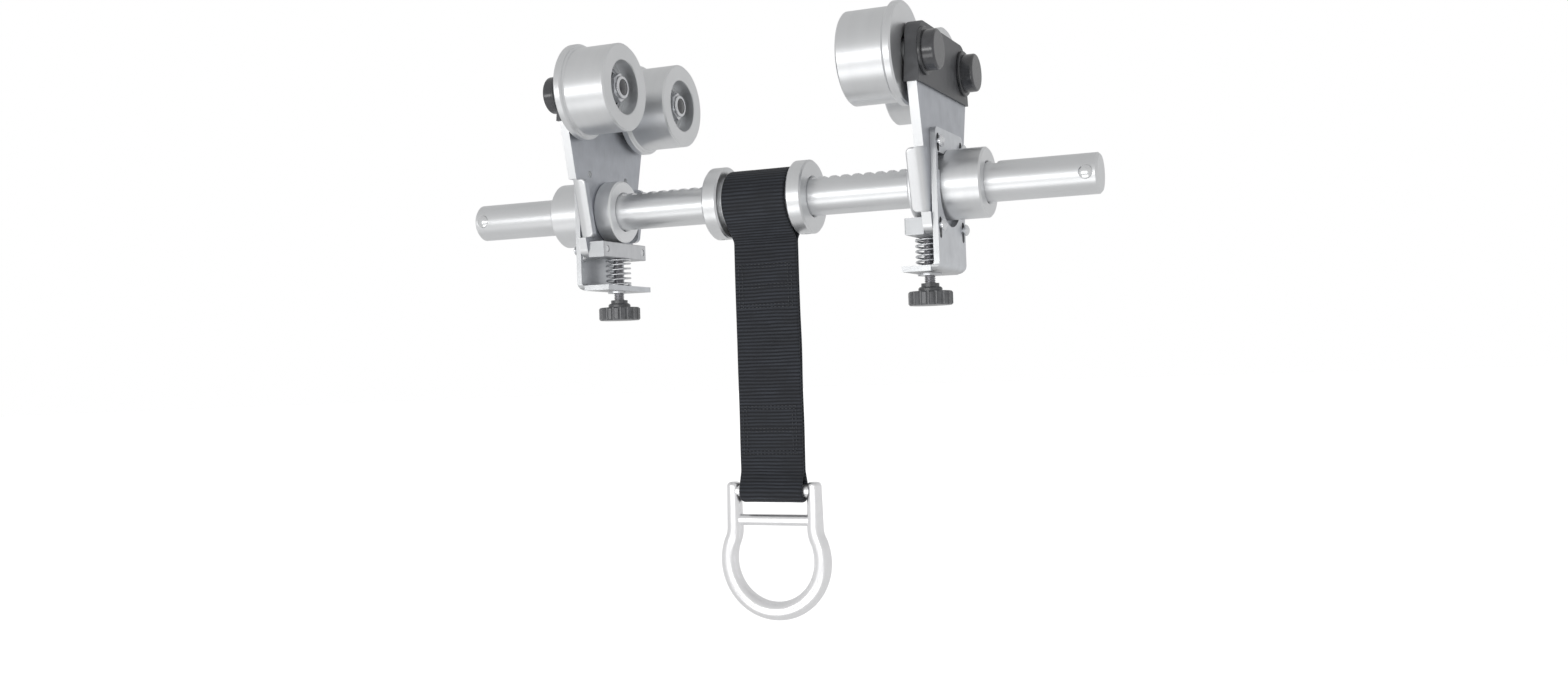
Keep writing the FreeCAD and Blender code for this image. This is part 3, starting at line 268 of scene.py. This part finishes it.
FINISHES = {
    "bar": satin("bar_steel", (0.76, 0.77, 0.78), 0.36, DRAWN_X, 1.4 * MM, 1.2 * MICRON,
                 (AXIS, BAR_RADIUS)),
    "stop_pin": satin("pin_steel", (0.78, 0.79, 0.80), 0.22, EVEN, 3 * MM),
    "spool": satin("spool_steel", (0.76, 0.77, 0.78), 0.34, ROUND_X),
    "spool_grub_screws": satin("grub_steel", (0.20, 0.20, 0.21), 0.40, EVEN),
    # Painted light: the inner collars are the same metal as the outer ones, made paler here to stand in for
    # light they lose among the plates.
    "inner_collar": satin("inner_collar_steel", (0.90, 0.91, 0.92), 0.48, ROUND_X),
    "outer_collar": satin("outer_collar_steel", (0.76, 0.77, 0.78), 0.35, ROUND_X),
    "bush": satin("bush_steel", (0.66, 0.67, 0.69), 0.34, ROUND_X),
    "roller": satin("roller_steel", (0.76, 0.77, 0.78), 0.35, ROUND_X, 1.4 * MM, 4 * MICRON),
    "bearing": satin("bearing_steel", (0.55, 0.56, 0.58), 0.22, ROUND_X),
    "axle_nuts": satin("nut_zinc", (0.72, 0.73, 0.75), 0.24, EVEN, 3 * MM),
    "axle_spacers": satin("spacer_steel", (0.60, 0.61, 0.62), 0.34, ROUND_X),
    "axle_bolts": moulded("black_oxide_steel", (0.034, 0.035, 0.039), 0.20, 2 * MM, 6 * MICRON, 0.9),
    "bolt_washers": moulded("black_washer_steel", (0.028, 0.029, 0.032), 0.30, 2 * MM, 8 * MICRON, 0.75),
    # Second tone: painted highlight on the side plates' cut sides, painted shade on those of the lock plate
    # and lock block.
    "side_plate": sheet_steel("side_plate_zinc", (0.53, 0.55, 0.59), (0.78, 0.79, 0.80)),
    "lock_plate": sheet_steel("lock_plate_zinc", (0.72, 0.74, 0.77), (0.50, 0.51, 0.52)),
    "lock_block": sheet_steel("lock_block_zinc", (0.72, 0.73, 0.75), (0.42, 0.43, 0.44)),
    "guide_screws": satin("screw_zinc", (0.78, 0.79, 0.81), 0.20, EVEN, 3 * MM),
    "shelf_washer": satin("washer_zinc", (0.66, 0.67, 0.69), 0.30, EVEN, 3 * MM),
    "bumper_cap": moulded("cap_rubber", (0.056, 0.058, 0.063), 0.46, 1.1 * MM, 20 * MICRON, 0.95),
    "knob": moulded("knob_plastic", (0.076, 0.078, 0.083), 0.30, 1.4 * MM, 10 * MICRON, 0.75),
    "knob_insert": satin("insert_brass", (0.62, 0.47, 0.25), 0.30, ROUND_Z),
    "lock_stud": satin("stud_steel", (0.44, 0.44, 0.46), 0.28, EVEN, 3 * MM),
    "lock_spring": satin("spring_steel", (0.70, 0.71, 0.73), 0.22, EVEN, 3 * MM),
    "d_ring": satin("ring_forged_zinc", (0.95, 0.95, 0.96), 0.30, EVEN, 4 * MM, 4 * MICRON),
    # Painted light: the two tones are painted shade for the hollows between ribs and painted highlight for
    # the rib tops.
    "strap": webbing("strap_webbing", (0.007, 0.008, 0.011), (0.033, 0.037, 0.046), 1.8 * MM),
}
THREAD = moulded("sewing_thread", (0.048, 0.051, 0.058), 0.55, 0.4 * MM, 30 * MICRON)


def finish_of(name):
    return FINISHES[max((key for key in FINISHES if name.startswith(key)), key=len)]


for name, thing in nodes.items():
    thing.data.materials.clear()
    thing.data.materials.append(finish_of(name))


# ---------------------------------------------------------------- pieces built over the frame

def piece(name, points, faces, material, body=None, uvs=None):
    """A smooth mesh piece. uvs gives one (u, v) for each corner of each face."""
    mesh = bpy.data.meshes.new(name)
    mesh.from_pydata(points, [], faces)
    mesh.materials.append(material)
    mesh.shade_smooth()
    if uvs:
        layer = mesh.uv_layers.new(name="weave")
        for corner, uv in zip(layer.data, uvs):
            corner.uv = uv
    made = bpy.data.objects.new(name, mesh)
    bpy.context.scene.collection.objects.link(made)
    if body:
        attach(made, body)
    return made


def skin(rings, closed=False):
    """Points and quads of a tube through rings of equal count, capped unless it closes on itself."""
    count = len(rings[0])
    points = [point for ring in rings for point in ring]
    faces = []
    for i in range(len(rings) if closed else len(rings) - 1):
        here, there = i * count, (i + 1) % len(rings) * count
        for j in range(count):
            k = (j + 1) % count
            faces.append((here + j, here + k, there + k, there + j))
    if not closed:
        faces.append(tuple(reversed(range(count))))
        faces.append(tuple(range(len(points) - count, len(points))))
    return points, faces


WIRE = 0.75 * MM
COILS = 6.5
FLAT_TURNS = 0.75
FLAT_RISE = 0.55 * WIRE
SHELF_GAP = 0.1 * MM
THREAD_PITCH = 1.25 * MM
THREAD_DEPTH = 0.65 * MM
CREST_SHARE = 0.12
FLANK_SHARE = 0.76


def helix_spring(x, low, high, radius):
    """Compression spring with its end coils laid nearly flat."""
    steps = int(COILS * 40)
    rings = []
    for i in range(steps + 1):
        turn = COILS * i / steps
        lift = min(max((turn - FLAT_TURNS) / (COILS - 2 * FLAT_TURNS), 0), 1)
        laid = (min(turn, FLAT_TURNS) + max(turn - COILS + FLAT_TURNS, 0)) / FLAT_TURNS
        z = low + WIRE + FLAT_RISE * laid + lift * (high - low - 2 * WIRE - 2 * FLAT_RISE)
        angle = turn * 2 * math.pi
        outward = Vector((math.cos(angle), math.sin(angle), 0))
        slope = (high - low) / COILS / (2 * math.pi * radius)
        ahead = Vector((-outward.y, outward.x, slope)).normalized()
        up = outward.cross(ahead)
        spot = Vector((x, 0, z)) + outward * radius
        rings.append([spot + WIRE * (outward * math.cos(a) + up * math.sin(a))
                      for a in (2 * math.pi * j / 12 for j in range(12))])
    return skin(rings)


def threaded_rod(x, low, high, radius):
    """Rod with a helical thread, chamfered at both ends."""
    around, rows = 36, int((high - low) / THREAD_PITCH * 9)
    rings = []
    for i in range(rows + 1):
        z = low + (high - low) * i / rows
        trim = max(0.0, THREAD_DEPTH - min(z - low, high - z))
        ring = []
        for j in range(around):
            phase = (z / THREAD_PITCH - j / around) % 1
            cut = THREAD_DEPTH * min(max((abs(phase - 0.5) * 2 - CREST_SHARE) / FLANK_SHARE, 0), 1)
            r = radius - max(cut, trim)
            a = 2 * math.pi * j / around
            ring.append(Vector((x + r * math.cos(a), r * math.sin(a), z)))
        rings.append(ring)
    return skin(rings)


for side, hand in SIDES:
    low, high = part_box(f"lock_spring_{side}")
    stud_low, stud_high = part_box(f"lock_stud_{side}")
    block_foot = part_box(f"lock_block_{side}")[0].z
    stud_x = (stud_low.x + stud_high.x) / 2
    shelf_top = low.z - SHELF_GAP
    points, faces = helix_spring(stud_x, shelf_top, block_foot, (high.y - low.y) / 2 - WIRE)
    spring = piece(f"spring_{side}", points, faces, FINISHES["lock_spring"])
    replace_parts(spring, f"lock_spring_{side}")
    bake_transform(spring)
    points, faces = threaded_rod(stud_x, stud_low.z, stud_high.z, (stud_high.x - stud_low.x) / 2)
    stud = piece(f"threaded_stud_{side}", points, faces, FINISHES["lock_stud"], f"carriage_{side}")
    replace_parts(stud, f"lock_stud_{side}")


# ---------------------------------------------------------------- sling

LAYER = 3.4 * MM
RIB = 2.63 * MM
STEP = RIB / 6
WIDTH = STRAP_HIGH.x - STRAP_LOW.x
HUB_LINE = STRAP_HIGH.z - AXIS - LAYER / 2
EYE_LINE = PIN.z - STRAP_LOW.z - LAYER / 2
LAYER_LINE = LAYER / 2 + 0.05 * MM
MEET = AXIS - 30 * MM
PART = AXIS - 203 * MM


def arc(centre_z, radius, start, end, count):
    """Points (y, z) of an arc about the X axis, angles in degrees from +Y towards +Z."""
    return [(radius * math.cos(math.radians(start + (end - start) * i / count)),
             centre_z + radius * math.sin(math.radians(start + (end - start) * i / count)))
            for i in range(count + 1)]


def sling_line():
    """Closed centre line (y, z) of the webbing: over the hub, down the back, round the pin, up the front."""
    over = arc(AXIS, HUB_LINE, 225, -45, 90)
    under = arc(PIN.z, EYE_LINE, 15, -195, 50)
    down = [(LAYER_LINE, MEET), (LAYER_LINE, PART)]
    up = [(-LAYER_LINE, PART), (-LAYER_LINE, MEET)]
    return over + down + under + up


def resampled(line, step):
    """Even points along a closed line, and their distance from its start."""
    ends = line[1:] + line[:1]
    total = sum(math.dist(a, b) for a, b in zip(line, ends))
    count = round(total / step)
    made, travelled, target = [], 0.0, 0.0
    for a, b in zip(line, ends):
        run = math.dist(a, b)
        while target < travelled + run and len(made) < count:
            share = (target - travelled) / run
            made.append((a[0] + (b[0] - a[0]) * share, a[1] + (b[1] - a[1]) * share))
            target += total / count
        travelled += run
    return made, total


def rounded(line, passes):
    """The closed line with its corners eased."""
    for _ in range(passes):
        line = [((a[0] + 2 * b[0] + c[0]) / 4, (a[1] + 2 * b[1] + c[1]) / 4)
                for a, b, c in zip(line[-1:] + line[:-1], line, line[1:] + line[:1])]
    return line


ZONES = ((AXIS - 46 * MM, AXIS - 82 * MM), (AXIS - 152 * MM, AXIS - 192 * MM))
FADE = 1.5 * MM


def sewn(z):
    """1 in the sewn zones of the sling, 0 away from them."""
    return max(min(max((min(top - z, z - foot) + FADE) / FADE, 0), 1) for top, foot in ZONES)


def strap_section(flat_half, thick_half, edge_points=5, face_points=44):
    """Rounded section: u across the strap and w outwards, from the outer face's left end."""
    radius = thick_half * 0.92
    run = flat_half - radius
    turns = [math.pi * i / edge_points for i in range(1, edge_points)]
    outer = [(-run + 2 * run * i / face_points, thick_half) for i in range(face_points + 1)]
    outer += [(run + radius * math.sin(turn), thick_half * math.cos(turn)) for turn in turns]
    return outer + [(-u, -w) for u, w in outer]


BODY_SHRINK = 0.3 * MM
RIB_HEIGHT = 0.5 * MM
BELLY = 0.7 * MM
DRIFT = 0.5 * MM
SELVEDGE = 2.2 * MM


def build_strap():
    """Webbing as one closed loop, with its ribs, sewn zones and slight unevenness as geometry."""
    line, total = resampled(sling_line(), STEP)
    line = rounded(line, 14)
    count = len(line)
    ribs = round(total / RIB)
    section = strap_section(WIDTH / 2, LAYER / 2 - BODY_SHRINK)
    free_top, free_foot = ZONES[0][1], ZONES[1][0]
    rings = []
    for i, (y, z) in enumerate(line):
        back, ahead = line[i - 1], line[(i + 1) % count]
        along = Vector((0, ahead[0] - back[0], ahead[1] - back[1])).normalized()
        out = Vector((0, -along.z, along.y))
        phase = ribs * i / count
        hub = min(max((z - MEET) / (12 * MM), 0), 1)
        tall = RIB_HEIGHT * (1 - 0.6 * hub) * (1 - 0.55 * sewn(z))
        free = min(max((z - free_foot) / (free_top - free_foot), 0), 1)
        bow = BELLY * math.sin(math.pi * free) ** 2
        drift = DRIFT * noise.noise(Vector((0, 0.3 if y > 0 else 5.1, z * 22)))
        ring = []
        for u, w in section:
            near = min(1.0, (WIDTH / 2 - abs(u)) / SELVEDGE)
            sway = 0.16 * noise.noise(Vector((u * 55, phase * 0.21, 3)))
            rib = abs(math.cos(math.pi * (phase + sway))) ** 0.75
            lively = 0.8 + 0.4 * noise.noise(Vector((u * 90, phase * 0.9, 8)))
            lift = w / (LAYER / 2) * tall * rib * (0.35 + 0.65 * near) * lively * 1.2
            spot = Vector((u + drift, y, z)) + out * (w + lift)
            if bow:
                spot.y += bow if y > 0 else -bow * 0.3
            ring.append(spot)
        rings.append(ring)
    points, faces = skin(rings, closed=True)
    width = len(section)
    spans = [0.0]
    for a, b in zip(section, section[1:] + section[:1]):
        spans.append(spans[-1] + math.dist(a, b))
    uvs = []
    for i in range(count):
        for j in range(width):
            v0, v1 = ribs * i / count, ribs * (i + 1) / count
            uvs += [(spans[j], v0), (spans[j + 1], v0), (spans[j + 1], v1), (spans[j], v1)]
    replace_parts(piece("sling_webbing", points, faces, FINISHES["strap"], "sling", uvs), "strap")


build_strap()


STITCH = 3 * MM
STITCH_GAP = 0.16
THREAD_RADIUS = 0.27 * MM
THREAD_RISE = 0.22 * MM
THREAD_SINK = 0.1 * MM
ROW_OUTER = 21.5 * MM
ROW_INNER = 18.6 * MM
ROW_PAIR = 1.1 * MM
ROW_SHARES = (0.08, 0.5, 0.92)
ZONE_MARGIN = 1 * MM


def stitch_row(start, end):
    """Start and end point of each stitch along a row on a face of the strap."""
    count = max(1, int((end - start).length / STITCH))
    ahead = (end - start) / count
    return [(start + ahead * (i + STITCH_GAP), start + ahead * (i + 1 - STITCH_GAP)) for i in range(count)]


def sewn_rows(face):
    """Rows of the sewn zones: two along each edge, and pairs across at three heights."""
    rows = []
    for top, foot in ZONES:
        for x in (-ROW_OUTER, -ROW_INNER, ROW_INNER, ROW_OUTER):
            rows.append((Vector((x, face, top - ZONE_MARGIN)), Vector((x, face, foot + ZONE_MARGIN))))
        for share in ROW_SHARES:
            for gap in (-ROW_PAIR, ROW_PAIR):
                z = top + (foot - top) * share + gap
                rows.append((Vector((-ROW_OUTER, face, z)), Vector((ROW_OUTER, face, z))))
    return rows


def sewing(name, outward):
    """Dark thread of the sewn zones, on the strap's front (-1) or back (1) face."""
    points, faces = [], []
    for start, end in sewn_rows(outward * (LAYER + 0.12 * MM)):
        for a, b in stitch_row(start, end):
            ahead = (b - a).normalized()
            out = Vector((0, outward, 0))
            wide = ahead.cross(out)
            rings = []
            for i in range(7):
                share = i / 6
                swell = math.sin(math.pi * min(max(share, 0.06), 0.94)) ** 0.5
                spot = a.lerp(b, share) + out * (THREAD_RISE * swell - THREAD_SINK)
                rings.append([spot + THREAD_RADIUS * swell * (wide * math.cos(t) + out * math.sin(t))
                              for t in (2 * math.pi * j / 8 for j in range(8))])
            more, quads = skin(rings)
            faces += [tuple(k + len(points) for k in quad) for quad in quads]
            points += more
    piece(name, points, faces, THREAD, "sling")


sewing("sling_stitching_front", -1)
sewing("sling_stitching_back", 1)


# ---------------------------------------------------------------- studio

FLOOR_DROP = 0.45
FLOOR_REACH = 40
FLOOR_GLOW = 0.62
FLOOR_CORNERS = 64


def stage_floor(height):
    """Pale round floor, well below the hung object."""
    mesh = bpy.data.meshes.new("floor")
    turns = [2 * math.pi * i / FLOOR_CORNERS for i in range(FLOOR_CORNERS)]
    rim = [(FLOOR_REACH * math.cos(turn), FLOOR_REACH * math.sin(turn), height) for turn in turns]
    mesh.from_pydata(rim, [], [tuple(range(FLOOR_CORNERS))])
    finish = Finish("floor_paint")
    finish.relief(finish.grain(20 * MM), 200 * MICRON)
    clouds = finish.grain(0.6, detail=2)
    finish.shader.inputs["Emission Color"].default_value = (1, 1, 1, 1)
    finish.shader.inputs["Emission Strength"].default_value = FLOOR_GLOW
    mesh.materials.append(finish.done(finish.tones(clouds, (0.9, 0.9, 0.9), (0.93, 0.93, 0.93)), 0.9))
    floor = bpy.data.objects.new("floor", mesh)
    bpy.context.scene.collection.objects.link(floor)
    floor.visible_glossy = False


def softbox(name, place, target, width, height, brightness):
    """Area light of that brightness, aimed at a point."""
    lamp = bpy.data.lights.new(name, "AREA")
    lamp.shape = "RECTANGLE"
    lamp.size, lamp.size_y = width, height
    lamp.energy = brightness * math.pi * width * height
    made = bpy.data.objects.new(name, lamp)
    bpy.context.scene.collection.objects.link(made)
    made.location = place
    made.visible_camera = False
    made.rotation_euler = (Vector(target) - Vector(place)).to_track_quat("-Z", "Y").to_euler()


def sky(view, top, middle, bottom):
    """Plain surroundings: white to look at, and a soft grey gradient to be lit by."""
    world = bpy.data.worlds.new("studio")
    bpy.context.scene.world = world
    world.use_nodes = True
    tree = world.node_tree
    tree.nodes.clear()
    coordinates = tree.nodes.new("ShaderNodeTexCoord")
    split = tree.nodes.new("ShaderNodeSeparateXYZ")
    spread = tree.nodes.new("ShaderNodeMapRange")
    ramp = tree.nodes.new("ShaderNodeValToRGB")
    lit, seen = (tree.nodes.new("ShaderNodeBackground") for _ in range(2))
    path = tree.nodes.new("ShaderNodeLightPath")
    choose = tree.nodes.new("ShaderNodeMixShader")
    out = tree.nodes.new("ShaderNodeOutputWorld")
    spread.inputs["From Min"].default_value = -1
    ramp.color_ramp.elements[0].color = (bottom, bottom, bottom, 1)
    ramp.color_ramp.elements[1].color = (top, top, top, 1)
    waist = ramp.color_ramp.elements.new(0.5)
    waist.color = (middle, middle, middle, 1)
    seen.inputs["Color"].default_value = (view, view, view, 1)
    link = tree.links.new
    link(coordinates.outputs["Generated"], split.inputs[0])
    link(split.outputs["Z"], spread.inputs["Value"])
    link(spread.outputs["Result"], ramp.inputs["Fac"])
    link(ramp.outputs["Color"], lit.inputs["Color"])
    link(path.outputs["Is Camera Ray"], choose.inputs["Fac"])
    link(lit.outputs[0], choose.inputs[1])
    link(seen.outputs[0], choose.inputs[2])
    link(choose.outputs[0], out.inputs["Surface"])


CAMERA_PLACE = Vector((0.44161, -0.99004, -0.17984))
CAMERA_TURN = math.radians(23.45)
CAMERA_TILT = math.radians(0.99)
CAMERA_ROLL = math.radians(-1.86)
CAMERA_LENS = 33.19


def studio_camera():
    """Camera from the front right, a little below the bar and nearly level."""
    forward = Vector((-math.sin(CAMERA_TURN) * math.cos(CAMERA_TILT),
                      math.cos(CAMERA_TURN) * math.cos(CAMERA_TILT), math.sin(CAMERA_TILT)))
    level = Vector((math.cos(CAMERA_TURN), math.sin(CAMERA_TURN), 0))
    upright = level.cross(forward)
    right = math.cos(CAMERA_ROLL) * level + math.sin(CAMERA_ROLL) * upright
    up = math.cos(CAMERA_ROLL) * upright - math.sin(CAMERA_ROLL) * level
    data = bpy.data.cameras.new("camera")
    data.lens = CAMERA_LENS
    data.sensor_width = 36
    data.clip_start, data.clip_end = 0.01, 100
    camera = bpy.data.objects.new("camera", data)
    bpy.context.scene.collection.objects.link(camera)
    axes = Matrix((right, up, -forward)).transposed().to_4x4()
    camera.matrix_world = Matrix.Translation(CAMERA_PLACE) @ axes
    bpy.context.scene.camera = camera


studio_camera()
stage_floor(cad_box[0].z - FLOOR_DROP)
sky(1.0, 0.58, 0.70, 0.64)
softbox("front_strip", (-0.24, -1.38, -0.12), (0.06, 0, -0.09), 1.5, 0.28, 3.5)
softbox("low_softbox", (-0.10, -1.10, -0.95), (0, 0, -0.3), 1.6, 0.5, 1.3)
bpy.context.scene.view_settings.view_transform = "Standard"
